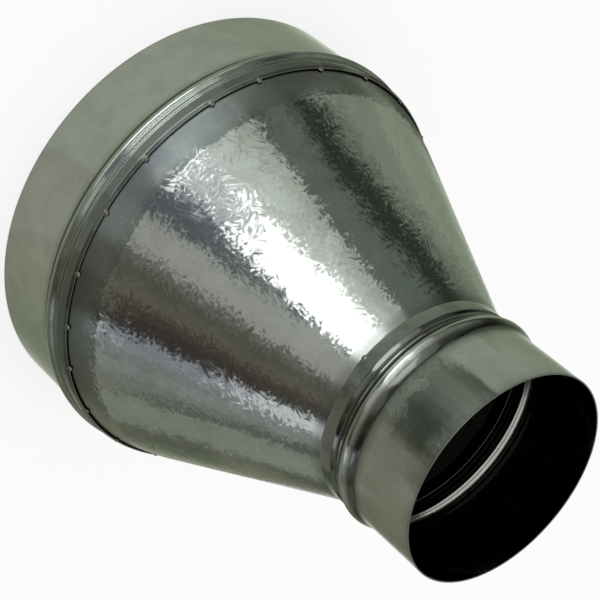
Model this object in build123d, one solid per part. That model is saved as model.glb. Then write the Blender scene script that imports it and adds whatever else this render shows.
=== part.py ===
from build123d import *
from math import atan2, cos, radians, sin, tan
import os

# Round duct reducer of galvanised sheet steel, joining a 200 mm duct to a 100 mm duct.
# It is three rings of thin sheet: a large collar, a cone and a small collar. Each collar's
# inner end is opened out by one sheet thickness to slip over a short flange on the cone,
# and is held there by a row of small tack welds.
# It stands on the rim of its large collar. The duct's axis is Z, Z = 0 is the large rim,
# and -Y is the side seen from the front. All sizes are in millimetres.

# Sheet and joints
wall = 0.6
lap_clearance = 0.05

# Outside diameters of the two spigots, each a little under the duct that slips over it
large_outside_diameter = 198.8
small_outside_diameter = 98.6

# Rolled stop bead, the same on both collars. It rises from the spigot in a wide soft bend
# and its flanks meet in a rounded crest, which lies lower than the point they aim at.
# The far flank ends in a crease and a low ridge along the bead's foot.
spigot_length = 35.0
spigot_bend = 7.0
bead_point_height = 2.6
bead_half_width = 5.3
bead_crest_bend = 3.0
crest_to_crease = 3.2
crease_height = 0.2
crest_to_ridge = 4.2
ridge_height = 0.55
ridge_bend = 0.8
foot_bend = 1.2

# Inner end of the large collar, closed down onto the cone along its last stretch
large_socket_length = 6.7
closed_edge_length = 1.7
bend_before_edge = 1.4

# Inner end of the small collar, with a short neck and a step out over the cone's flange
neck_length = 0.9
step_length = 1.6
small_socket_length = 6.5

# Cone, with a slightly steeper rolled shoulder above the large seam
cone_height = 113.4
shoulder_height = 13.7
shoulder_drop = 6.1
shoulder_bend = 20.0
large_flange_bend = 3.0
small_flange_bend = 2.5
flange_end_gap = 1.3

# Tack welds, drops of weld metal that stand only a little proud of the collar's edge
tack_radius = 1.5
tack_rise = 0.35
large_front_tacks = (-147, -128, -114, -93, -77, -60, -45, -32)
large_back_tacks = 14
small_tacks = 4
first_small_tack = -91

large_radius = large_outside_diameter / 2
small_radius = small_outside_diameter / 2
step = wall + lap_clearance
bead_foot = spigot_length + 2 * bead_half_width

large_seam_height = bead_foot + large_socket_length
shoulder_top_height = large_seam_height + shoulder_height
small_seam_height = large_seam_height + cone_height
total_height = small_seam_height + small_socket_length + step_length + neck_length + bead_foot

shoulder_run = shoulder_height + closed_edge_length + bend_before_edge
shoulder_slope = shoulder_drop / shoulder_run
shoulder_radius = large_radius - shoulder_drop
cone_angle = atan2(shoulder_radius - small_radius, cone_height - shoulder_height)
small_flange_setback = small_flange_bend * tan(cone_angle / 2)


def ring_of_sheet(outline, bends):
    """Ring whose outside follows the outline of (radius, height) points, one wall thick."""
    with BuildPart() as ring:
        with BuildSketch(Plane.XZ):
            with BuildLine():
                FilletPolyline(*outline, radius=bends)
                offset(amount=wall, side=Side.LEFT)
            make_face()
        revolve(axis=Axis.Z)
    return ring.part


def spigot_outline(radius, socket_radius):
    """Points of a spigot from its open rim over its stop bead, and the bends between them."""
    crest = spigot_length + bead_half_width
    points = [
        (radius, 0),
        (radius, spigot_length),
        (radius + bead_point_height, crest),
        (socket_radius + crease_height, crest + crest_to_crease),
        (socket_radius + ridge_height, crest + crest_to_ridge),
        (socket_radius, bead_foot),
    ]
    return points, [spigot_bend, bead_crest_bend, ridge_bend, ridge_bend]


def large_collar_ring():
    socket_radius = large_radius + step
    points, bends = spigot_outline(large_radius, socket_radius)
    points += [
        (socket_radius, large_seam_height - closed_edge_length),
        (socket_radius - shoulder_slope * closed_edge_length, large_seam_height),
    ]
    return ring_of_sheet(points, bends + [foot_bend] * 2)


def small_collar_ring():
    socket_radius = small_radius + step
    points, bends = spigot_outline(small_radius, small_radius)
    points += [
        (small_radius, bead_foot + neck_length),
        (socket_radius, bead_foot + neck_length + step_length),
        (socket_radius, bead_foot + neck_length + step_length + small_socket_length),
    ]
    bends += [foot_bend] * 3
    upside_down = [(radius, total_height - height) for radius, height in reversed(points)]
    return ring_of_sheet(upside_down, bends[::-1])


def cone_outline():
    points = [
        (large_radius, bead_foot + flange_end_gap),
        (large_radius, large_seam_height - closed_edge_length - bend_before_edge),
        (shoulder_radius, shoulder_top_height),
        (small_radius, small_seam_height - small_flange_setback),
        (small_radius, small_seam_height + small_socket_length - flange_end_gap),
    ]
    return points, [large_flange_bend, shoulder_bend, small_flange_bend]


def cone_space():
    """Everything inside the cone's outer face, which no tack weld may reach into."""
    points, bends = cone_outline()
    with BuildPart() as space:
        with BuildSketch(Plane.XZ):
            with BuildLine():
                outer = FilletPolyline(*points, radius=bends)
                Polyline(outer @ 1, (0, points[-1][1]), (0, points[0][1]), outer @ 0)
            make_face()
        revolve(axis=Axis.Z)
    return space.part


def add_tacks(ring, edge_radius, height, azimuths):
    """Weld metal in round drops on a collar's inner edge, lying against the cone's face."""
    radius = edge_radius + tack_rise - tack_radius
    drops = Part()
    for azimuth in azimuths:
        angle = radians(azimuth)
        drops += Pos(radius * cos(angle), radius * sin(angle), height) * Sphere(tack_radius)
    return ring + (drops - cone_space())


def large_tack_azimuths():
    """Tacks where the front shows them, and the rest spread evenly round the back."""
    first, last = large_front_tacks[-1], large_front_tacks[0] + 360
    pitch = (last - first) / (large_back_tacks + 1)
    return list(large_front_tacks) + [first + pitch * (place + 1) for place in range(large_back_tacks)]


def small_tack_azimuths():
    return [first_small_tack + 360 / small_tacks * place for place in range(small_tacks)]


large_edge_radius = large_radius + step - shoulder_slope * closed_edge_length
small_edge_radius = small_radius + step

large_collar = add_tacks(large_collar_ring(), large_edge_radius, large_seam_height, large_tack_azimuths())
small_collar = add_tacks(small_collar_ring(), small_edge_radius, small_seam_height, small_tack_azimuths())
cone_body = ring_of_sheet(*cone_outline())

os.makedirs("parts", exist_ok=True)
export_step(large_collar, "parts/large_collar.step")
export_step(cone_body, "parts/cone_body.step")
export_step(small_collar, "parts/small_collar.step")
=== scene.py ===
import math

import bpy
from mathutils import Matrix, Vector


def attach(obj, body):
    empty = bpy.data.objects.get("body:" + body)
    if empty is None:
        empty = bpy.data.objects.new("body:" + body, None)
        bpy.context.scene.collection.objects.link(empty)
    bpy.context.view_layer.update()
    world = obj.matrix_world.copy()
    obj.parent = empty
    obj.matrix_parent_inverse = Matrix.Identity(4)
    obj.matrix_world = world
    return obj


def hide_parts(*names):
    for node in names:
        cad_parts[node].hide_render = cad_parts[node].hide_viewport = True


# A round duct reducer of galvanised sheet steel, standing on the rim of its large collar.
# Each of its three sheets is turned here as a fine mesh from the same real sizes as the
# solids, with its cut edges eased and its tack welds raised. Sizes are in millimetres and
# angles in degrees where nothing else is said; MM turns millimetres into metres.
MM = 0.001

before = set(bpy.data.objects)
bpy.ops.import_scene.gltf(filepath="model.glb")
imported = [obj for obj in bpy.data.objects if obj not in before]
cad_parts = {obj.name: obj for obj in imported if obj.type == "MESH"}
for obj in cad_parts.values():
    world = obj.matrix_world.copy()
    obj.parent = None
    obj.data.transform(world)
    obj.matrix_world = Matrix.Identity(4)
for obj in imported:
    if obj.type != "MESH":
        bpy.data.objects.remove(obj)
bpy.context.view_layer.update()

# Sheet and joints
WALL = 0.6
LAP_CLEARANCE = 0.05
EDGE_EASE = 0.1

# Collars
LARGE_RADIUS = 99.4
SMALL_RADIUS = 49.3
SPIGOT_LENGTH = 35.0
SPIGOT_BEND = 7.0
BEAD_POINT_HEIGHT = 2.6
BEAD_HALF_WIDTH = 5.3
BEAD_CREST_BEND = 3.0
CREST_TO_CREASE = 3.2
CREASE_HEIGHT = 0.2
CREST_TO_RIDGE = 4.2
RIDGE_HEIGHT = 0.55
RIDGE_BEND = 0.8
FOOT_BEND = 1.2
LARGE_SOCKET_LENGTH = 6.7
CLOSED_EDGE_LENGTH = 1.7
BEND_BEFORE_EDGE = 1.4
NECK_LENGTH = 0.9
STEP_LENGTH = 1.6
SMALL_SOCKET_LENGTH = 6.5

# Cone
CONE_HEIGHT = 113.4
SHOULDER_HEIGHT = 13.7
SHOULDER_DROP = 6.1
SHOULDER_BEND = 20.0
LARGE_FLANGE_BEND = 3.0
SMALL_FLANGE_BEND = 2.5
FLANGE_END_GAP = 1.3

# Tack welds
TACK_RADIUS = 1.5
TACK_RISE = 0.35
LARGE_FRONT_TACKS = (-147, -128, -114, -93, -77, -60, -45, -32)
LARGE_BACK_TACKS = 14
SMALL_TACKS = 4
FIRST_SMALL_TACK = -91

STEP = WALL + LAP_CLEARANCE
BEAD_FOOT = SPIGOT_LENGTH + 2 * BEAD_HALF_WIDTH
LARGE_SEAM = BEAD_FOOT + LARGE_SOCKET_LENGTH
SHOULDER_TOP = LARGE_SEAM + SHOULDER_HEIGHT
SMALL_SEAM = LARGE_SEAM + CONE_HEIGHT
TOTAL_HEIGHT = SMALL_SEAM + SMALL_SOCKET_LENGTH + STEP_LENGTH + NECK_LENGTH + BEAD_FOOT
SHOULDER_SLOPE = SHOULDER_DROP / (SHOULDER_HEIGHT + CLOSED_EDGE_LENGTH + BEND_BEFORE_EDGE)
SHOULDER_RADIUS = LARGE_RADIUS - SHOULDER_DROP
CONE_ANGLE = math.atan2(SHOULDER_RADIUS - SMALL_RADIUS, CONE_HEIGHT - SHOULDER_HEIGHT)
SMALL_FLANGE_SETBACK = SMALL_FLANGE_BEND * math.tan(CONE_ANGLE / 2)

# How bright the outer face is at each height, painted into its colour. Below 1 it is painted shade:
# in the bands at the joints, in the bends and creases it stands in for dark reflections and shade,
# and at both rims for their shadow. Over 1 it is a painted highlight on the large bead. The inner
# faces carry painted shade for the dark inside, and painted highlights on the small bead's hollow.
LARGE_PAINTED_SHADING = (
    (0, 0.3), (0.3, 0.7), (0.7, 1.0), (32.0, 1.0), (34.0, 0.86), (39.5, 0.86), (41.2, 1.1), (43.2, 1.2),
    (43.6, 0.4), (44.1, 1.1), (45.4, 0.9), (46.4, 0.58), (48.0, 0.58), (51.0, 0.6), (LARGE_SEAM, 0.75),
)
CONE_PAINTED_SHADING = (
    (LARGE_SEAM, 0.8), (54.0, 0.95), (66.0, 1.0), (160.0, 1.0), (161.3, 0.72), (SMALL_SEAM, 0.66),
)
SMALL_PAINTED_SHADING = (
    (SMALL_SEAM, 0.68), (167.5, 0.57), (171.5, 0.55), (172.3, 0.36), (173.4, 0.36), (174.4, 0.4),
    (176.2, 0.42), (177.2, 0.8), (178.2, 1.0), (182.2, 0.95), (183.4, 0.4), (184.2, 0.27),
    (186.8, 0.27), (188.6, 0.75), (190.5, 1.0), (216.5, 1.0), (219.0, 0.85), (TOTAL_HEIGHT, 0.6),
)
LARGE_INNER_PAINTED_SHADING = ((0, 0.45), (LARGE_SEAM, 0.45))
CONE_INNER_PAINTED_SHADING = ((LARGE_SEAM, 0.2), (SMALL_SEAM, 0.12))
SMALL_INNER_PAINTED_SHADING = (
    (SMALL_SEAM, 0.12), (176.9, 0.12), (177.2, 1.4), (177.8, 1.4), (178.1, 0.4), (178.5, 1.4),
    (181.0, 1.2), (182.0, 0.3), (TOTAL_HEIGHT, 0.3),
)

# Where the photograph was taken from and the point it looks at, in metres, the azimuth of that
# place in degrees, and how far the camera was turned about its line of sight, in radians
CAMERA_PLACE = Vector((0.0, -0.66081, 0.61850))
CAMERA_AZIMUTH = -90
CAMERA_TARGET = Vector((-0.00209, 0.0, 0.08182))
CAMERA_ROLL = -4.0112
SENSOR_WIDTH = 36.0
FOCAL_LENGTH = 116.5

# Fineness of the turned meshes: columns round, degrees and millimetres between rows, rows over
# a cut end, and where rows and columns crowd, in millimetres from a sheet's end or a tack weld.
# CLEAR_OF_TACK is the angle in radians that other columns keep from a weld's own ones.
COLUMNS = 300
ARC_STEP = 7
LONGEST_RUN = 5.0
LEAST_STEP = 0.01
CAP_STEPS = 8
NEAR_EDGE = (0.12, 0.3, 0.5, 0.75, 1.0, 1.4)
NEAR_TACK = (0, 0.25, 0.5, 0.75, 0.95, 1.15, 1.3, 1.4, 1.55, 2.2)
CLEAR_OF_TACK = 0.003
FEWEST_ARC_STEPS = 3

# The heat stain round a tack weld: the share of the weld's radius where it starts to fade,
# and how many millimetres the fading takes
STAIN_START = 0.55
STAIN_FADE = 0.9


def spigot_outline(radius, socket_radius):
    """Outer line of a collar from its open rim to the far foot of its bead, and its bends."""
    crest = SPIGOT_LENGTH + BEAD_HALF_WIDTH
    points = [
        (radius, 0),
        (radius, SPIGOT_LENGTH),
        (radius + BEAD_POINT_HEIGHT, crest),
        (socket_radius + CREASE_HEIGHT, crest + CREST_TO_CREASE),
        (socket_radius + RIDGE_HEIGHT, crest + CREST_TO_RIDGE),
        (socket_radius, BEAD_FOOT),
    ]
    return points, [SPIGOT_BEND, BEAD_CREST_BEND, RIDGE_BEND, RIDGE_BEND]


def large_collar_outline():
    socket_radius = LARGE_RADIUS + STEP
    points, bends = spigot_outline(LARGE_RADIUS, socket_radius)
    points += [
        (socket_radius, LARGE_SEAM - CLOSED_EDGE_LENGTH),
        (socket_radius - SHOULDER_SLOPE * CLOSED_EDGE_LENGTH, LARGE_SEAM),
    ]
    return points, bends + [FOOT_BEND] * 2


def small_collar_outline():
    """The small collar's line from its cut end over the cone up to its open rim."""
    points, bends = spigot_outline(SMALL_RADIUS, SMALL_RADIUS)
    socket_radius = SMALL_RADIUS + STEP
    height = BEAD_FOOT + NECK_LENGTH
    points.append((SMALL_RADIUS, height))
    height += STEP_LENGTH
    points.append((socket_radius, height))
    height += SMALL_SOCKET_LENGTH
    points.append((socket_radius, height))
    flipped = [(radius, TOTAL_HEIGHT - z) for radius, z in reversed(points)]
    return flipped, list(reversed(bends + [FOOT_BEND] * 3))


def cone_outline():
    points = [
        (LARGE_RADIUS, BEAD_FOOT + FLANGE_END_GAP),
        (LARGE_RADIUS, LARGE_SEAM - CLOSED_EDGE_LENGTH - BEND_BEFORE_EDGE),
        (SHOULDER_RADIUS, SHOULDER_TOP),
        (SMALL_RADIUS, SMALL_SEAM - SMALL_FLANGE_SETBACK),
        (SMALL_RADIUS, SMALL_SEAM + SMALL_SOCKET_LENGTH - FLANGE_END_GAP),
    ]
    return points, [LARGE_FLANGE_BEND, SHOULDER_BEND, SMALL_FLANGE_BEND]


def outward(direction):
    """Unit vector to the right of a line that climbs in Z, away from the axis."""
    return Vector((direction.y, -direction.x))


def rounded_line(points, bends):
    """Points along a line with rounded corners, each with its outward unit vector."""
    points = [Vector(point) for point in points]
    line = []
    arcs = []
    for corner in range(1, len(points) - 1):
        before = (points[corner] - points[corner - 1]).normalized()
        after = (points[corner + 1] - points[corner]).normalized()
        turn = math.atan2(before.x * after.y - before.y * after.x, before.dot(after))
        bend = bends[corner - 1]
        setback = bend * math.tan(abs(turn) / 2)
        start = points[corner] - before * setback
        side = -outward(before) if turn > 0 else outward(before)
        centre = start + side * bend
        arcs.append((start, centre, turn, before))
    here = points[0]
    for start, centre, turn, before in arcs:
        line += straight_run(here, start)
        steps = max(FEWEST_ARC_STEPS, math.ceil(math.degrees(abs(turn)) / ARC_STEP))
        for i in range(steps + 1):
            rotation = Matrix.Rotation(turn * i / steps, 2)
            line.append((centre + rotation @ (start - centre), outward(rotation @ before)))
        here = line[-1][0]
    line += straight_run(here, points[-1])
    line.append((points[-1], line[-1][1]))
    kept = line[:1]
    for place in line[1:]:
        if (place[0] - kept[-1][0]).length > LEAST_STEP:
            kept.append(place)
    return kept


def straight_run(start, end):
    """Points from start up to, but not at, the end of a straight stretch, closer near both ends."""
    length = (end - start).length
    direction = (end - start).normalized()
    places = {0.0}
    places.update(near for near in NEAR_EDGE if near < length / 2)
    places.update(length - near for near in NEAR_EDGE if near < length / 2)
    pieces = max(1, math.ceil(length / LONGEST_RUN))
    middle = [length * i / pieces for i in range(1, pieces)]
    places.update(place for place in middle if NEAR_EDGE[-1] < place < length - NEAR_EDGE[-1])
    return [(start + direction * place, outward(direction)) for place in sorted(places)]


def sheet_section(points, bends):
    """Closed section of the sheet as rows of (radius, height, outward, along, cap place).

    The cap place is None on the two faces, and runs from 0 at the outer corner to 1 at the
    inner one on a cut end. along points out of the sheet at that end.
    """
    line = rounded_line(points, bends)
    outer = line[1:-1]
    section = [(p, n, Vector((0, 0)), None) for p, n in outer]
    section += cut_end(line[-1], 1)
    section += [(p - n * WALL, n, Vector((0, 0)), None) for p, n in reversed(outer)]
    section += list(reversed(cut_end(line[0], -1)))
    return section


def cut_end(end, way):
    """Points across a cut end with eased corners, from the outer face to the inner one."""
    point, normal = end
    along = Vector((-normal.y, normal.x)) * way
    rows = []
    for i in range(CAP_STEPS + 1):
        place = i / CAP_STEPS
        depth = WALL * place ** 2 if way > 0 else WALL * place
        near_corner = min(depth, WALL - depth, EDGE_EASE) / EDGE_EASE
        back = EDGE_EASE * (1 - math.sqrt(1 - (1 - near_corner) ** 2))
        rows.append((point - normal * depth - along * back, normal, along, place))
    return rows


def columns(tacks, radius):
    """Azimuths of the mesh's columns in radians, closer together at each tack weld."""
    angles = {round(math.tau * i / COLUMNS, 6) for i in range(COLUMNS)}
    reach = NEAR_TACK[-1] / radius
    centres = [math.radians(tack) % math.tau for tack in tacks]
    angles = {a for a in angles if all(apart(a, c) > reach + CLEAR_OF_TACK for c in centres)}
    for centre in centres:
        for near in NEAR_TACK:
            angles.add(round((centre + near / radius) % math.tau, 6))
            angles.add(round((centre - near / radius) % math.tau, 6))
    return sorted(angles)


def apart(one, other):
    """Angle between two azimuths."""
    return abs((one - other + math.pi) % math.tau - math.pi)


def tack_shape(point, normal, along, place, edge, across):
    """Where a point of the section lies once a tack weld at distance across is laid on it.

    The weld is a drop of weld metal centred on the collar's cut edge: it rises a little
    over the collar's outer face and runs down over the edge onto the cone.
    """
    reach = TACK_RADIUS ** 2 - across ** 2
    sunk = TACK_RADIUS - TACK_RISE
    if place is None:
        behind = (point - edge).length
        height = math.sqrt(max(0, reach - behind ** 2)) - sunk
        return point + normal * max(0, height)
    top = max(0, math.sqrt(max(0, reach)) - sunk)
    level = top + (-WALL - top) * place ** 2
    out = math.sqrt(max(0, reach - (level + sunk) ** 2))
    if out == 0 and top == 0:
        return point
    return edge + normal * level + along * out


def painted_shading_at(height, shading_rows):
    """The painted light and shade between the two listed heights on either side."""
    if height <= shading_rows[0][0]:
        return shading_rows[0][1]
    for (low, low_tone), (high, high_tone) in zip(shading_rows, shading_rows[1:]):
        if height <= high:
            return low_tone + (high_tone - low_tone) * (height - low) / (high - low)
    return shading_rows[-1][1]


def turned_sheet(name, outline, shading_rows, inner_shading_rows, tacks=(), tacked_end=0):
    """A mesh turned round Z from a sheet's section, with tack welds along one cut end."""
    points, bends = outline
    section = sheet_section(points, bends)
    edge = Vector(points[-1 if tacked_end > 0 else 0])
    radius = edge.x
    angles = columns(tacks, radius)
    centres = [math.radians(tack) for tack in tacks]
    outer_count = sum(1 for row in section if row[3] is None) // 2
    vertices = []
    welds = []
    cuts = []
    shades = []
    # Each row's painted light and shade, from the outer or the inner table
    section_shades = [
        painted_shading_at(point.y, shading_rows if index < outer_count else inner_shading_rows)
        for index, (point, normal, along, place) in enumerate(section)
    ]
    for angle in angles:
        nearest = min((apart(angle, centre) * radius for centre in centres), default=math.inf)
        for index, (point, normal, along, place) in enumerate(section):
            on_tacked_end = along.y * tacked_end > 0
            on_outer_face = index < outer_count
            if nearest < TACK_RADIUS and (on_tacked_end or on_outer_face):
                place_here = place if on_tacked_end else None
                point = tack_shape(point, normal, along, place_here, edge, nearest)
            vertices.append((
                point.x * math.cos(angle) * MM,
                point.x * math.sin(angle) * MM,
                point.y * MM,
            ))
            distance = math.hypot(nearest, (point - edge).length)
            weld = max(0, 1 - max(0, distance - TACK_RADIUS * STAIN_START) / STAIN_FADE)
            welds.append(weld if on_tacked_end or on_outer_face else 0)
            cuts.append(0 if place is None else 1)
        shades += section_shades
    faces = faces_round(len(angles), len(section))
    return new_piece(name, vertices, faces, {"weld": welds, "cut_edge": cuts, "painted_shading": shades})


def faces_round(column_count, rows):
    """Faces that join each column of points to the next one round and close each section."""
    faces = []
    for column in range(column_count):
        here = column * rows
        there = (column + 1) % column_count * rows
        for row in range(rows):
            up = (row + 1) % rows
            faces.append((here + row, there + row, there + up, here + up))
    return faces


def new_piece(name, vertices, faces, attributes):
    """A smooth mesh object with a number at each of its points for every attribute."""
    mesh = bpy.data.meshes.new(name)
    mesh.from_pydata(vertices, [], faces)
    mesh.validate()
    mesh.polygons.foreach_set("use_smooth", [True] * len(mesh.polygons))
    for label, values in attributes.items():
        mesh.attributes.new(label, "FLOAT", "POINT").data.foreach_set("value", values)
    mesh.update()
    piece = bpy.data.objects.new(name, mesh)
    bpy.context.collection.objects.link(piece)
    return piece


def large_tacks():
    back_span = 360 + LARGE_FRONT_TACKS[0] - LARGE_FRONT_TACKS[-1]
    back_step = back_span / (LARGE_BACK_TACKS + 1)
    back = [LARGE_FRONT_TACKS[-1] + back_step * (i + 1) for i in range(LARGE_BACK_TACKS)]
    return list(LARGE_FRONT_TACKS) + back


def small_tacks():
    return [FIRST_SMALL_TACK + 360 / SMALL_TACKS * i for i in range(SMALL_TACKS)]


class Graph:
    """Short calls for building a node tree."""

    def __init__(self, tree):
        self.tree = tree
        self.tree.nodes.clear()

    def add(self, kind, inputs=None, **settings):
        node = self.tree.nodes.new(kind)
        for key, value in settings.items():
            setattr(node, key, value)
        for key, value in (inputs or {}).items():
            socket = node.inputs[key]
            if isinstance(value, bpy.types.NodeSocket):
                self.tree.links.new(value, socket)
            else:
                socket.default_value = value
        return node

    def math(self, operation, first, second=0.0, clamp=False):
        node = self.add("ShaderNodeMath", {0: first, 1: second}, operation=operation)
        node.use_clamp = clamp
        return node.outputs[0]

    def vector(self, operation, first, second=(0, 0, 0)):
        node = self.add("ShaderNodeVectorMath", {0: first, 1: second}, operation=operation)
        return node.outputs[0]

    def scaled(self, vector, scale):
        node = self.add("ShaderNodeVectorMath", {0: vector, "Scale": scale}, operation="SCALE")
        return node.outputs[0]

    def ranged(self, value, low, high, to_low=0.0, to_high=1.0, smooth=True):
        node = self.add(
            "ShaderNodeMapRange",
            {"Value": value, "From Min": low, "From Max": high,
             "To Min": to_low, "To Max": to_high},
        )
        node.interpolation_type = "SMOOTHSTEP" if smooth else "LINEAR"
        return node.outputs["Result"]

    def noise(self, vector, scale, detail=2.0, roughness=0.5, output="Fac"):
        node = self.add(
            "ShaderNodeTexNoise",
            {"Vector": vector, "Scale": scale, "Detail": detail, "Roughness": roughness},
        )
        return node.outputs[output]

    def mix(self, factor, first, second):
        node = self.tree.nodes.new("ShaderNodeMix")
        node.data_type = "RGBA"
        for socket, value in ((node.inputs[0], factor), (node.inputs[6], first),
                              (node.inputs[7], second)):
            if isinstance(value, bpy.types.NodeSocket):
                self.tree.links.new(value, socket)
            else:
                socket.default_value = value
        return node.outputs[2]


def new_material(name):
    material = bpy.data.materials.new(name)
    material.use_nodes = True
    return material, Graph(material.node_tree)


def rgb(red, green, blue):
    return (red, green, blue, 1.0)


# The middle of a noise's colours, which is taken off to make it lean both ways
HALF = (0.5, 0.5, 0.5)

# The zinc finish. Scales are in repeats to a millimetre, and wander, rises, falls and eases in
# millimetres. The turn is in radians, and ranges, tints, relief and roughness are shares.
CRYSTAL_SCALE = 0.14
CRYSTAL_WANDER_SCALE = 0.25
CRYSTAL_WANDER = 6.0
CRYSTAL_TURN = 12.0
CRYSTAL_SHADES = (0.95, 1.05)
CRYSTAL_RISE = (2.0, 3.0)
CRYSTAL_FALL = (1.5, 1.5)
NEEDLE_SCALE = (0.12, 0.75, 0.75)
ROLLED_SCALE = (0.03, 0.03, 2.2)
ROLLED_RELIEF = 0.5
GRAIN_SCALE = 2.5
GRAIN_RELIEF = 0.2
RELIEF_STRENGTH = 0.12
RELIEF_DEPTH = 0.1 * MM
CLOUD_SCALE = 0.035
CLOUD_RANGE = (0.35, 0.68)
CLOUD_TINT = 0.5
CLOUD_ROUGHNESS = 0.08
STROKE_SCALE = (0.3, 0.3, 0.05)
STROKE_RANGE = (0.3, 0.7)
STROKE_TINT = 0.35
# The cut edges' dark colour is partly the raw steel of the cut and partly painted shade, standing in
# for the shadowed gap at the lap beside the edge.
CUT_COLOUR = rgb(0.15, 0.15, 0.14)
CUT_TINT = 0.4
CUT_ROUGHNESS = 0.35
WELD_COLOUR = rgb(0.12, 0.115, 0.10)
WELD_TINT = 0.55
WELD_ROUGHNESS = 0.28
BURNISHED_ROUGHNESS = 0.05
SCUFFED_ROUGHNESS = 0.05
SCUFFED_EASE = (0.5, 0.5)
EDGE_ON_COLOUR = rgb(0.55, 0.58, 0.52)


def between(g, height, heights, rise, fall):
    """1 from one height to another, with a soft start and end.

    rise and fall are how far before and after its height each of them reaches.
    """
    low, high = heights
    risen = g.ranged(height, low - rise[0], low + rise[1])
    falling = g.ranged(height, high - fall[0], high + fall[1], 1.0, 0.0)
    return g.math("MULTIPLY", risen, falling)


def stretched(g, vector, scale):
    return g.add("ShaderNodeMapping", {"Vector": vector, "Scale": scale}).outputs[0]


def attribute(g, name):
    return g.add("ShaderNodeAttribute", attribute_name=name).outputs["Fac"]


def crystal_pattern(g, millimetres):
    """A colour for each zinc crystal, with wandering borders between them."""
    wander = g.noise(millimetres, CRYSTAL_WANDER_SCALE, output="Color")
    shift = g.scaled(g.vector("SUBTRACT", wander, HALF), CRYSTAL_WANDER)
    wandered = g.vector("ADD", millimetres, shift)
    crystals = g.add("ShaderNodeTexVoronoi", {"Vector": wandered, "Scale": CRYSTAL_SCALE})
    return crystals.outputs["Color"]


def tilted_normal(g, millimetres, crystals, lean, needles, show):
    """The surface's direction, leant by each crystal and by the fine needles in it."""
    crystal_lean = g.vector("SUBTRACT", crystals, HALF)
    turned = g.add(
        "ShaderNodeVectorRotate",
        {"Vector": millimetres, "Rotation": g.scaled(crystals, CRYSTAL_TURN)},
        rotation_type="EULER_XYZ",
    ).outputs[0]
    drawn_out = stretched(g, turned, NEEDLE_SCALE)
    needle_noise = g.noise(drawn_out, 1.0, detail=1.5, roughness=0.6, output="Color")
    needle_lean = g.vector("SUBTRACT", needle_noise, HALF)
    tilt = g.vector("ADD", g.scaled(crystal_lean, lean), g.scaled(needle_lean, needles))
    normal = g.add("ShaderNodeNewGeometry").outputs["Normal"]
    return g.vector("NORMALIZE", g.vector("ADD", normal, g.scaled(tilt, show)))


def rolled_relief(g, millimetres, normal):
    """Faint rolling lines round the part and a fine grain over it."""
    rolled = g.noise(stretched(g, millimetres, ROLLED_SCALE), 1.0, detail=3.0, roughness=0.6)
    grain = g.noise(millimetres, GRAIN_SCALE, roughness=0.6)
    lines = g.math("MULTIPLY", rolled, ROLLED_RELIEF)
    relief = g.math("ADD", lines, g.math("MULTIPLY", grain, GRAIN_RELIEF))
    bump = g.add(
        "ShaderNodeBump",
        {"Strength": RELIEF_STRENGTH, "Distance": RELIEF_DEPTH, "Height": relief, "Normal": normal},
    )
    return bump.outputs[0]


def zinc_colour(g, millimetres, crystals, cloud, tint, dark_tint, cut, weld):
    """Cloudy bloom and soft strokes in two tints, shaded by crystal, cut edges and welds, and scaled by
    painted light and shade along the heights.
    """
    strokes = g.noise(stretched(g, millimetres, STROKE_SCALE), 1.0, detail=3.0, roughness=0.6)
    stroke = g.ranged(strokes, *STROKE_RANGE)
    bloom = g.ranged(cloud, *CLOUD_RANGE)
    colour = g.mix(g.math("MULTIPLY", bloom, CLOUD_TINT), tint, dark_tint)
    colour = g.mix(g.math("MULTIPLY", stroke, STROKE_TINT), colour, dark_tint)
    crystal_shade = g.add("ShaderNodeSeparateXYZ", {0: crystals}).outputs["X"]
    shade = g.ranged(crystal_shade, 0.0, 1.0, *CRYSTAL_SHADES, smooth=False)
    # The colour is scaled by the painted light and shade that each point carries by its height
    colour = g.scaled(colour, g.math("MULTIPLY", shade, attribute(g, "painted_shading")))
    # Cut edges darken: partly the raw steel of the cut, partly painted shade for the gap beside them
    colour = g.mix(g.math("MULTIPLY", cut, CUT_TINT), colour, CUT_COLOUR)
    return g.mix(g.math("MULTIPLY", weld, WELD_TINT), colour, WELD_COLOUR)


def zinc_roughness(g, roughness, cloud, cut, weld, show, scuffs):
    """The given roughness, uneven with the bloom and duller where the sheet was worked."""
    uneven = g.math("MULTIPLY", g.math("SUBTRACT", cloud, 0.5), CLOUD_ROUGHNESS)
    rough = g.math("ADD", roughness, uneven)
    rough = g.math("ADD", rough, g.math("MULTIPLY", weld, WELD_ROUGHNESS))
    rough = g.math("ADD", rough, g.math("MULTIPLY", cut, CUT_ROUGHNESS))
    burnished = g.math("SUBTRACT", 1.0, show)
    rough = g.math("ADD", rough, g.math("MULTIPLY", burnished, BURNISHED_ROUGHNESS), clamp=True)
    for scuffed in scuffs:
        rough = g.math("ADD", rough, g.math("MULTIPLY", scuffed, SCUFFED_ROUGHNESS))
    return rough


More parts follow.
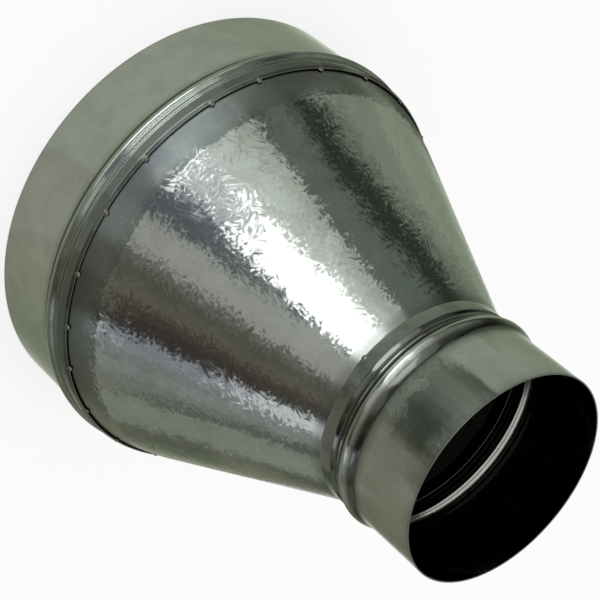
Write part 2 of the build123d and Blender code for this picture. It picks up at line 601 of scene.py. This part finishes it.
def zinc(name, tint, dark_tint, roughness, lean, needles, zone, beads=()):
    """Galvanised sheet: zinc crystals with fine needles that each lean a little their own way,
    cloudy bloom, faint rolling lines round the part, cut edges and heat-stained welds.

    lean and needles are how far the crystals and their needles tilt the surface. zone is
    (low, high), the heights in millimetres between which they show; outside it the sheet has
    been burnished by the forming rolls, and is duller. beads are the heights between which
    the rolls have scuffed the sheet.
    """
    material, g = new_material(name)
    place = g.add("ShaderNodeTexCoord").outputs["Object"]
    millimetres = g.scaled(place, 1 / MM)
    height = g.add("ShaderNodeSeparateXYZ", {0: millimetres}).outputs["Z"]
    show = between(g, height, zone, CRYSTAL_RISE, CRYSTAL_FALL)
    scuffs = [between(g, height, bead, SCUFFED_EASE, SCUFFED_EASE) for bead in beads]
    crystals = crystal_pattern(g, millimetres)
    cloud = g.noise(millimetres, CLOUD_SCALE, detail=4.0, roughness=0.6)
    cut = attribute(g, "cut_edge")
    weld = attribute(g, "weld")
    tilted = tilted_normal(g, millimetres, crystals, lean, needles, show)
    shader = g.add(
        "ShaderNodeBsdfPrincipled",
        {
            "Base Color": zinc_colour(g, millimetres, crystals, cloud, tint, dark_tint, cut, weld),
            "Metallic": 1.0,
            "Roughness": zinc_roughness(g, roughness, cloud, cut, weld, show, scuffs),
            "Specular Tint": EDGE_ON_COLOUR,
            "Normal": rolled_relief(g, millimetres, tilted),
        },
    )
    g.add("ShaderNodeOutputMaterial", {"Surface": shader.outputs[0]})
    return material


def seen_directly(g):
    """1 for rays from the camera, off metal or through glass, otherwise 0."""
    path = g.add("ShaderNodeLightPath")
    either = g.math("MAXIMUM", path.outputs["Is Camera Ray"], path.outputs["Is Glossy Ray"])
    return g.math("MAXIMUM", either, path.outputs["Is Transmission Ray"])


# The floor, in metres: its half width, how far it lies under the part, and how far inside and
# outside the rim it turns white; then its glow, the light of the surroundings and the lamp
FLOOR_REACH = 8.0
FLOOR_GAP = 0.0002
INSIDE_RIM = 0.0009
OUTSIDE_RIM = 0.0006
FLOOR_GRAIN_SCALE = 60.0
FLOOR_DARK = rgb(0.80, 0.80, 0.79)
FLOOR_PALE = rgb(0.84, 0.84, 0.83)
FLOOR_GLOW = 0.8
WHITE = rgb(1.0, 1.0, 1.0)
SURROUNDINGS_LIGHT = 0.6
LAMP_SIDE = 2.4
LAMP_HEIGHT = 2.4
LAMP_POWER = 34.0


def floor_material():
    """Pale floor that shows white and still takes the object's shadow."""
    material, g = new_material("pale_floor")
    place = g.add("ShaderNodeTexCoord").outputs["Object"]
    flat = g.vector("MULTIPLY", place, (1.0, 1.0, 0.0))
    reach = g.add("ShaderNodeVectorMath", {0: flat}, operation="LENGTH").outputs["Value"]
    grain = g.noise(place, FLOOR_GRAIN_SCALE, detail=3.0)
    colour = g.mix(grain, FLOOR_DARK, FLOOR_PALE)
    diffuse = g.add("ShaderNodeBsdfDiffuse", {"Color": colour})
    rim = LARGE_RADIUS * MM
    uncovered = g.ranged(reach, rim - INSIDE_RIM, rim + OUTSIDE_RIM)
    shown = g.math("MULTIPLY", seen_directly(g), uncovered)
    glow = g.add("ShaderNodeEmission", {"Color": WHITE, "Strength": 1.0})
    factor = g.math("MULTIPLY", shown, FLOOR_GLOW)
    mixed = g.add("ShaderNodeMixShader", {0: factor, 1: diffuse.outputs[0], 2: glow.outputs[0]})
    g.add("ShaderNodeOutputMaterial", {"Surface": mixed.outputs[0]})
    return material


def make_floor():
    reach = FLOOR_REACH
    mesh = bpy.data.meshes.new("floor")
    mesh.from_pydata(
        [(-reach, -reach, 0), (reach, -reach, 0), (reach, reach, 0), (-reach, reach, 0)],
        [],
        [(0, 1, 2, 3)],
    )
    floor = bpy.data.objects.new("floor", mesh)
    floor.location.z = -FLOOR_GAP
    bpy.context.collection.objects.link(floor)
    mesh.materials.append(floor_material())


def make_world():
    """Even pale surroundings, white where they are seen."""
    world = bpy.data.worlds.new("studio")
    bpy.context.scene.world = world
    world.use_nodes = True
    g = Graph(world.node_tree)
    even = g.add("ShaderNodeBackground", {"Color": WHITE, "Strength": SURROUNDINGS_LIGHT})
    white = g.add("ShaderNodeBackground", {"Color": WHITE, "Strength": 1.0})
    mixed = g.add(
        "ShaderNodeMixShader", {0: seen_directly(g), 1: even.outputs[0], 2: white.outputs[0]}
    )
    g.add("ShaderNodeOutputWorld", {"Surface": mixed.outputs[0]})


def make_overhead_lamp():
    lamp = bpy.data.lights.new("overhead_softbox", "AREA")
    lamp.shape = "RECTANGLE"
    lamp.size = LAMP_SIDE
    lamp.size_y = LAMP_SIDE
    lamp.energy = LAMP_POWER
    holder = bpy.data.objects.new("overhead_softbox", lamp)
    holder.location = (0.0, 0.0, LAMP_HEIGHT)
    bpy.context.collection.objects.link(holder)


# Cards and softboxes round the object, seen only in the metal. A row is a card's name, the
# place of its left edge and the light it gives as red, green and blue; the next row's place
# closes it. In the tables from here to the small bead's, a place is where the edge shows in the
# metal from the camera: azimuths are in degrees with -90 in front, and heights in millimetres.
# The cards lie on rings round the axis, at distances in metres.

# The surround shows at these heights of the cone. Its edges run on below the lowest one, by a
# share of the way between the lower two, and are let down further in front, behind the low
# cards.
SURROUND_DISTANCE = 0.4
SURROUND_HEIGHTS = (72.0, 114.0, 157.0)
SURROUND_OVERLAP = 0.45
FEET_LET_DOWN = (-133.0, -42.0)
FOOT_DROP = 0.037
SURROUND = (
    ("olive_left", (-176.0, -176.0, -176.0), (1.02, 1.10, 0.94)),
    ("olive_middle", (-156.0, -158.0, -168.4), (0.67, 0.72, 0.60)),
    ("grey_left", (-147.0, -149.5, -159.9), (0.47, 0.51, 0.42)),
    ("dark_left_edge", (-140.2, -142.8, -153.3), (0.19, 0.22, 0.18)),
    ("dark_left", (-138.2, -139.9, -149.3), (0.06, 0.07, 0.06)),
    ("mid_dark_left", (-131.9, -131.6, -139.0), (0.23, 0.28, 0.23)),
    ("mid_left", (-129.0, -129.0, -134.2), (0.34, 0.41, 0.36)),
    ("brown_line", (-121.5, -121.5, -121.5), (0.31, 0.28, 0.26)),
    ("softbox_green", (-118.8, -118.8, -118.6), (1.25, 1.34, 1.26)),
    ("softbox_pale", (-113.0, -113.0, -112.0), (1.58, 1.72, 1.64)),
    ("softbox_white", (-105.0, -104.5, -106.0), (5.20, 5.30, 5.50)),
    ("dark_blue", (-91.0, -90.8, -88.8), (0.20, 0.23, 0.28)),
    ("beige", (-82.5, -85.5, -87.4), (0.98, 1.01, 0.98)),
    ("olive", (-74.0, -74.0, -74.0), (0.36, 0.36, 0.32)),
    ("olive_line", (-70.0, -70.0, -69.5), (0.24, 0.23, 0.19)),
    ("olive_pale", (-66.0, -66.0, -66.0), (0.34, 0.32, 0.27)),
    ("brown", (-62.0, -62.0, -61.5), (0.18, 0.14, 0.12)),
    ("black", (-58.0, -58.0, -57.5), (0.09, 0.07, 0.06)),
    ("softbox_blue", (-51.5, -52.0, -53.0), (1.95, 2.05, 2.25)),
    ("grey_blue", (-46.5, -46.5, -46.0), (0.52, 0.56, 0.54)),
    ("pale_blue", (-42.5, -43.0, -43.0), (0.66, 0.75, 0.74)),
    ("grey_right", (-37.5, -39.0, -39.5), (0.50, 0.55, 0.52)),
    ("thin_line", (-31.0, -34.5, -37.0), (0.27, 0.29, 0.27)),
    ("pale_right", (-28.6, -31.0, -32.5), (0.68, 0.72, 0.64)),
    ("olive_right", (-24.0, -24.0, -25.0), (0.76, 0.81, 0.70)),
    ("dark_right", (-16.5, -16.5, -16.5), (0.38, 0.40, 0.34)),
    ("end", (-4.0, -4.0, -4.0), None),
)

# Dimmer strips in front of the foot of the white and the blue softbox, which break up their
# reflections low on the cone. A place is an azimuth and the heights of the strip's foot and
# top, and its foot is let down a little in the room.
STRIP_DROP = 0.002
WHITE_FOOT = (
    ("foot_pale", (-105.0, 67.5, 89.2), (0.27, 0.31, 0.39)),
    ("foot_mid", (-98.0, 67.5, 96.5), (0.27, 0.31, 0.39)),
    ("foot_dark", (-93.0, 67.5, 100.0), (0.22, 0.26, 0.34)),
    ("end", (-90.0, 67.5, 102.0), None),
)
BLUE_FOOT = (
    ("blue_foot", (-51.8, 66.4, 130.0), (0.68, 0.72, 0.84)),
    ("end", (-46.5, 66.4, 129.0), None),
)

# Low cards close to the object, seen in its rolled shoulder from the edge of it down
SHOULDER_EDGE = 65.4
EDGE_MARGIN = 0.001
LOW_RING = (
    ("low_left", -168.0, (0.18, 0.20, 0.17)),
    ("low_grey_left", -150.0, (0.22, 0.24, 0.21)),
    ("low_grey_middle", -137.0, (0.20, 0.23, 0.21)),
    ("low_mid_left", -130.0, (0.27, 0.31, 0.28)),
    ("low_mid", -123.0, (0.33, 0.35, 0.32)),
    ("low_pale_left", -119.0, (0.62, 0.71, 0.71)),
    ("low_pale", -112.0, (0.74, 0.90, 0.97)),
    ("low_pale_right", -98.0, (0.42, 0.52, 0.62)),
    ("low_blue", -92.0, (0.29, 0.34, 0.38)),
    ("low_beige", -83.0, (0.46, 0.50, 0.50)),
    ("low_olive", -72.0, (0.23, 0.24, 0.22)),
    ("low_dark", -63.0, (0.14, 0.15, 0.12)),
    ("low_grey_right", -51.0, (0.22, 0.24, 0.23)),
    ("low_right", -38.0, (0.17, 0.19, 0.16)),
    ("low_far_right", -26.0, (0.17, 0.19, 0.16)),
    ("end", -15.5, None),
)

# Cards above the low ones at both sides, seen low on the cone's flanks
NEAR_HEIGHTS = (65.9, 114.5)
NEAR_LEFT = (
    ("near_left", -168.0, (0.90, 0.96, 0.82)),
    ("near_grey_left", -158.0, (0.68, 0.74, 0.62)),
    ("end", -147.0, None),
)
NEAR_RIGHT = (
    ("near_pale_right", -30.0, (0.68, 0.72, 0.62)),
    ("near_dark_right", -16.5, (0.37, 0.39, 0.32)),
    ("near_end_right", -9.0, (0.44, 0.47, 0.39)),
    ("end", 0.0, None),
)

# Lights over the surround, seen only in the small bead from this spot on its flank up: its
# radius and height, and how far it leans up from level in degrees
SMALL_FLANK = (50.8, 183.5, 25.5)
SMALL_BEAD_LIGHT_HEIGHT = 0.14
SMALL_BEAD_LIGHT = (
    ("small_bead_far_left", -170.0, (0.42, 0.44, 0.38)),
    ("small_bead_left", -140.0, (0.50, 0.53, 0.47)),
    ("small_bead_grey", -124.0, (0.62, 0.65, 0.61)),
    ("small_bead_pale", -116.0, (0.85, 0.89, 0.84)),
    ("small_bead_bright", -109.0, (1.05, 1.08, 1.04)),
    ("small_bead_white", -102.0, (1.45, 1.48, 1.46)),
    ("small_bead_soft", -85.0, (1.00, 1.00, 0.94)),
    ("small_bead_beige", -76.0, (0.85, 0.85, 0.78)),
    ("small_bead_right", -68.0, (0.62, 0.62, 0.55)),
    ("small_bead_olive", -56.0, (0.46, 0.46, 0.40)),
    ("small_bead_far_right", -30.0, (0.50, 0.52, 0.46)),
    ("end", -10.0, None),
)

# From here on places are in the room itself, with 270 degrees in front and heights in metres.
# In the next three tables a place is (azimuth, height) points from the foot of the edge up.
# Lights at the foot of the low cards, seen only in the large bead
LARGE_BEAD_LIGHT = (
    ("large_bead_left", ((218.0, 0.0), (218.0, 0.029)), (1.20, 1.25, 1.25)),
    ("large_bead_white", ((237.0, 0.0), (237.0, 0.029)), (5.00, 5.10, 5.20)),
    ("large_bead_right", ((268.0, 0.0), (268.0, 0.029)), (2.00, 2.05, 2.10)),
    ("end", ((284.0, 0.0), (284.0, 0.029)), None),
)

# A dark shape in front with rounded corners, seen in the small spigot, and its darker outline
FRONT_SHAPE = (
    ("front_left_edge", ((217.0, 0.030), (217.0, 0.058)), (0.14, 0.17, 0.14)),
    ("front_left", ((221.0, 0.019), (221.0, 0.058)), (0.24, 0.28, 0.23)),
    ("front_pale", ((230.0, 0.0155), (230.0, 0.059)), (0.35, 0.41, 0.35)),
    ("front_middle", ((248.0, 0.0150), (248.0, 0.059)), (0.24, 0.29, 0.25)),
    ("front_dark", ((258.0, 0.0150), (258.0, 0.059)), (0.12, 0.15, 0.12)),
    ("front_darkest", ((267.0, 0.0150), (267.0, 0.059)), (0.04, 0.05, 0.04)),
    ("front_right", ((290.0, 0.0160), (290.0, 0.059)), (0.07, 0.09, 0.07)),
    ("front_right_edge", ((298.0, 0.020), (298.0, 0.059)), (0.19, 0.21, 0.17)),
    ("front_right_fade", ((305.0, 0.031), (305.0, 0.059)), (0.42, 0.43, 0.36)),
    ("end", ((324.0, 0.040), (324.0, 0.059)), None),
)
FRONT_OUTLINE = (
    ("front_foot_left", ((217.5, 0.030), (219.5, 0.040)), (0.10, 0.12, 0.10)),
    ("front_foot_bend", ((221.5, 0.019), (225.0, 0.028)), (0.09, 0.11, 0.09)),
    ("front_foot", ((231.0, 0.0155), (233.0, 0.0215)), (0.08, 0.10, 0.08)),
    ("end", ((268.0, 0.0150), (268.0, 0.0205)), None),
)

# Bright slats, level in front of the white softbox's dimmer strips: both ends' azimuth, and the
# heights of each slat's foot and top
FOOT_SLAT_DISTANCE = 0.298
FOOT_SLAT_ENDS = (246.1, 265.2)
FOOT_SLAT_HEIGHTS = ((0.0860, 0.0888), (0.1010, 0.1045))
FOOT_SLAT_LIGHT = (5.20, 5.30, 5.50)

# Cards lying on the floor, seen only in the upright faces of the collars. A row is a card's
# name, the azimuth and inner distance of its left edge, and its light. The tables are kept
# with their outer distance and a small height that lays one ring over another.
SPIGOT_FLOOR = (
    ("spigot_left", (120, 0.0996), (0.92, 0.98, 0.86)),
    ("spigot_right_pale", (280, 0.0996), (0.82, 0.86, 0.75)),
    ("spigot_right", (304, 0.0996), (0.77, 0.80, 0.69)),
    ("spigot_far_right", (334, 0.0996), (0.74, 0.77, 0.65)),
    ("end", (420, 0.0996), None),
)
BAND_FLOOR = (
    ("band_far_left", (110, 0.105), (0.32, 0.33, 0.28)),
    ("band_left", (142, 0.113), (0.16, 0.17, 0.14)),
    ("band_mid_left", (172, 0.122), (0.30, 0.32, 0.28)),
    ("band_grey", (190, 0.128), (0.43, 0.47, 0.41)),
    ("band_pale_left", (210, 0.131), (0.52, 0.56, 0.50)),
    ("band_pale", (230, 0.134), (0.74, 0.82, 0.74)),
    ("band_white", (243, 0.135), (0.92, 1.03, 0.98)),
    ("band_pale_right", (268, 0.135), (0.72, 0.80, 0.74)),
    ("band_grey_right", (282, 0.134), (0.55, 0.59, 0.52)),
    ("band_olive", (304, 0.133), (0.40, 0.41, 0.34)),
    ("band_dark_right", (324, 0.131), (0.40, 0.41, 0.35)),
    ("band_right", (366, 0.125), (0.52, 0.53, 0.45)),
    ("band_end", (392, 0.119), (0.62, 0.64, 0.55)),
    ("end", (430, 0.110), None),
)
SMALL_FLOOR = (
    ("small_left", (120, 0.180), (0.84, 0.92, 0.80)),
    ("small_right", (290, 0.180), (0.58, 0.58, 0.49)),
    ("end", (420, 0.180), None),
)
FLOOR_RINGS = (
    (0.18, 0.0002, SPIGOT_FLOOR),
    (0.18, 0.0006, BAND_FLOOR),
    (0.9, 0.0004, SMALL_FLOOR),
)

# Fineness of the cards: degrees from one column of points to the next, and faces up a column
CARD_STEP = 4
CARD_ROWS = 4

CONE_LINE = rounded_line(*cone_outline())


def cone_face(height):
    """Radius of the cone's outer face at a height, and the face's lean up from level."""
    for (low, low_out), (high, high_out) in zip(CONE_LINE, CONE_LINE[1:]):
        if height <= high.y:
            share = (height - low.y) / (high.y - low.y)
            out = low_out.lerp(high_out, share)
            return low.x + (high.x - low.x) * share, math.degrees(math.atan2(out.y, out.x))
    raise ValueError("no cone at this height")


def mirrored(azimuth, radius, height, lean, distance):
    """Azimuth and height on a ring that the camera sees mirrored at a spot on the metal.

    The azimuth is the one nearest to what an upright mirror would show, so that the edges
    of a ring follow one another without a jump of a full turn.
    """
    angle = math.radians(azimuth)
    level = Vector((math.cos(angle), math.sin(angle), 0.0))
    upright = Vector((0.0, 0.0, 1.0))
    spot = (level * radius + upright * height) * MM
    normal = level * math.cos(math.radians(lean)) + upright * math.sin(math.radians(lean))
    ray = (spot - CAMERA_PLACE).normalized().reflect(normal)
    across = ray.xy.length_squared
    along = ray.xy.dot(spot.xy)
    beyond = spot.xy.length_squared - distance ** 2
    hit = spot + ray * ((math.sqrt(along ** 2 - across * beyond) - along) / across)
    around = math.degrees(math.atan2(hit.y, hit.x))
    nearby = 2 * azimuth - CAMERA_AZIMUTH + 360
    return Vector((around + 360 * round((nearby - around) / 360), hit.z))


def in_cone(azimuth, height, distance):
    """Azimuth and height on a ring that the camera sees mirrored at a spot on the cone."""
    radius, lean = cone_face(height)
    return mirrored(azimuth, radius, height, lean, distance)


def in_small_bead(azimuth, distance):
    """Height on a ring that the camera sees mirrored in the small bead's flank."""
    return mirrored(azimuth, *SMALL_FLANK, distance).y


def surround_edge(azimuths, distance):
    """An edge through where it shows at the three heights, on down and up to the bead's part."""
    low, middle, high = (
        in_cone(azimuth, height, distance) for azimuth, height in zip(azimuths, SURROUND_HEIGHTS)
    )
    foot = low + (low - middle) * SURROUND_OVERLAP
    if FEET_LET_DOWN[0] < azimuths[0] < FEET_LET_DOWN[1]:
        foot.y -= FOOT_DROP
    climb = (in_small_bead(azimuths[-1], distance) - EDGE_MARGIN - high.y) / (high.y - middle.y)
    return foot, middle, high + (high - middle) * climb


def strip_edge(place, distance):
    """An edge from where its foot shows in the cone up to where its top does."""
    azimuth, foot, top = place
    low = in_cone(azimuth, foot, distance)
    return (low.x, low.y - STRIP_DROP), in_cone(azimuth, top, distance)


def low_edge(azimuth, distance):
    """An upright edge from the floor to just over what the shoulder's edge mirrors."""
    top = in_cone(azimuth, SHOULDER_EDGE, distance)
    return (top.x, 0.0), (top.x, max(top.y, EDGE_MARGIN) + EDGE_MARGIN)


def near_edge(azimuth, distance):
    """An edge from just over the low cards up to what the cone mirrors further up."""
    shoulder = in_cone(azimuth, SHOULDER_EDGE, distance)
    foot, top = (in_cone(azimuth, height, distance) for height in NEAR_HEIGHTS)
    return (foot.x, max(shoulder.y + 2 * EDGE_MARGIN, 0.0)), (top.x, top.y)


def small_bead_edge(azimuth, distance):
    """An upright edge from where the surround ends."""
    around = in_cone(azimuth, SURROUND_HEIGHTS[-1], distance).x
    foot = in_small_bead(azimuth, distance)
    return (around, foot), (around, foot + SMALL_BEAD_LIGHT_HEIGHT)


def as_placed(edge, distance):
    """An edge whose points are already given in the room."""
    return edge


# The standing rings: each one's distance, its table and how a place there becomes an edge
RINGS = (
    (SURROUND_DISTANCE, SURROUND, surround_edge),
    (0.3, WHITE_FOOT, strip_edge),
    (0.38, BLUE_FOOT, strip_edge),
    (0.2, LOW_RING, low_edge),
    (0.2, NEAR_LEFT, near_edge),
    (0.2, NEAR_RIGHT, near_edge),
    (0.195, LARGE_BEAD_LIGHT, as_placed),
    (SURROUND_DISTANCE, SMALL_BEAD_LIGHT, small_bead_edge),
    (0.3, FRONT_SHAPE, as_placed),
    (0.299, FRONT_OUTLINE, as_placed),
)


def make_ring(distance, rows, edge_at):
    """All the cards of one standing ring."""
    for (name, left, light), (_, right, _) in zip(rows, rows[1:]):
        left_edge, right_edge = (
            [(azimuth, height, distance) for azimuth, height in edge_at(place, distance)]
            for place in (left, right)
        )
        make_card(name, left_edge, right_edge, light)


def make_floor_ring(outer, height, rows):
    """All the cards of one ring on the floor."""
    for (name, left, light), (_, right, _) in zip(rows, rows[1:]):
        edges = [
            [(azimuth, height, distance) for distance in (inner, outer)]
            for azimuth, inner in (left, right)
        ]
        make_card(name, *edges, light)


def make_foot_slats():
    """The bright slats, each between the same two azimuths."""
    for number, heights in enumerate(FOOT_SLAT_HEIGHTS):
        left, right = (
            [(azimuth, height, FOOT_SLAT_DISTANCE) for height in heights]
            for azimuth in FOOT_SLAT_ENDS
        )
        make_card("foot_slat_%d" % number, left, right, FOOT_SLAT_LIGHT)


def edge_place(edge, share):
    """Azimuth, height and distance a given share of the way along a card's edge."""
    run = share * (len(edge) - 1)
    index = min(int(run), len(edge) - 2)
    return [a + (b - a) * (run - index) for a, b in zip(edge[index], edge[index + 1])]


def make_card(name, left, right, light):
    """A curved card or softbox between two edges of (azimuth, height, distance) points."""
    widest = max(there[0] - here[0] for here, there in zip(left, right))
    steps = max(1, math.ceil(widest / CARD_STEP))
    vertices = []
    for step in range(steps + 1):
        across = step / steps
        for row in range(CARD_ROWS + 1):
            here = edge_place(left, row / CARD_ROWS)
            there = edge_place(right, row / CARD_ROWS)
            azimuth, height, distance = (a + (b - a) * across for a, b in zip(here, there))
            angle = math.radians(azimuth)
            vertices.append((distance * math.cos(angle), distance * math.sin(angle), height))
    faces = []
    for step in range(steps):
        for row in range(CARD_ROWS):
            corner = step * (CARD_ROWS + 1) + row
            above = corner + CARD_ROWS + 1
            faces.append((corner, above, above + 1, corner + 1))
    mesh = bpy.data.meshes.new(name)
    mesh.from_pydata(vertices, [], faces)
    stage_card(name, mesh, light)


def stage_card(name, mesh, light):
    """Give a card its light, and let only the metal see it."""
    card = bpy.data.objects.new(name, mesh)
    bpy.context.collection.objects.link(card)
    material, g = new_material(name)
    strength = max(light)
    colour = rgb(*(part / strength for part in light))
    emission = g.add("ShaderNodeEmission", {"Color": colour, "Strength": strength})
    g.add("ShaderNodeOutputMaterial", {"Surface": emission.outputs[0]})
    mesh.materials.append(material)
    card.visible_camera = False
    card.visible_diffuse = False
    card.visible_shadow = False


def make_camera():
    """The photograph's viewpoint: above and in front, turned about its own line of sight."""
    ahead = (CAMERA_TARGET - CAMERA_PLACE).normalized()
    right = ahead.cross(Vector((0, 0, 1))).normalized()
    up = right.cross(ahead)
    x_axis = math.cos(CAMERA_ROLL) * right + math.sin(CAMERA_ROLL) * up
    y_axis = -math.sin(CAMERA_ROLL) * right + math.cos(CAMERA_ROLL) * up
    data = bpy.data.cameras.new("camera")
    data.sensor_width = SENSOR_WIDTH
    data.lens = FOCAL_LENGTH
    camera = bpy.data.objects.new("camera", data)
    turn = Matrix((x_axis, y_axis, -ahead)).transposed()
    camera.matrix_world = Matrix.Translation(CAMERA_PLACE) @ turn.to_4x4()
    bpy.context.collection.objects.link(camera)
    bpy.context.scene.camera = camera


make_camera()
make_world()
make_floor()
make_overhead_lamp()
for distance, ring, edge_at in RINGS:
    make_ring(distance, ring, edge_at)
make_foot_slats()
for outer, height, ring in FLOOR_RINGS:
    make_floor_ring(outer, height, ring)

cone_zinc = zinc(
    "galvanised_cone",
    tint=rgb(0.272, 0.280, 0.262),
    dark_tint=rgb(0.238, 0.246, 0.222),
    roughness=0.155,
    lean=0.035,
    needles=0.23,
    zone=(62.0, 161.0),
)
collar_zinc = zinc(
    "galvanised_collar",
    tint=rgb(0.272, 0.282, 0.256),
    dark_tint=rgb(0.238, 0.243, 0.215),
    roughness=0.12,
    lean=0.01,
    needles=0.03,
    zone=(-5.0, 225.0),
    beads=((39.0, 46.0), (177.0, 186.0)),
)

# Each sheet's node, outline, painted light and shade outside and inside, tack welds and the cut end
# that carries them, 1 for the upper one and -1 for the lower one, and its finish
SHEETS = (
    (
        "large_collar", large_collar_outline(), LARGE_PAINTED_SHADING, LARGE_INNER_PAINTED_SHADING,
        large_tacks(), 1, collar_zinc,
    ),
    ("cone_body", cone_outline(), CONE_PAINTED_SHADING, CONE_INNER_PAINTED_SHADING, (), 1, cone_zinc),
    (
        "small_collar", small_collar_outline(), SMALL_PAINTED_SHADING, SMALL_INNER_PAINTED_SHADING,
        small_tacks(), -1, collar_zinc,
    ),
)
for node_name, outline, shading_rows, inner_shading_rows, tacks, tacked_end, material in SHEETS:
    piece = turned_sheet(node_name + "_sheet", outline, shading_rows, inner_shading_rows, tacks, tacked_end)
    piece.data.materials.append(material)
    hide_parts(node_name)
    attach(piece, "root")

bpy.context.scene.view_settings.view_transform = "Standard"
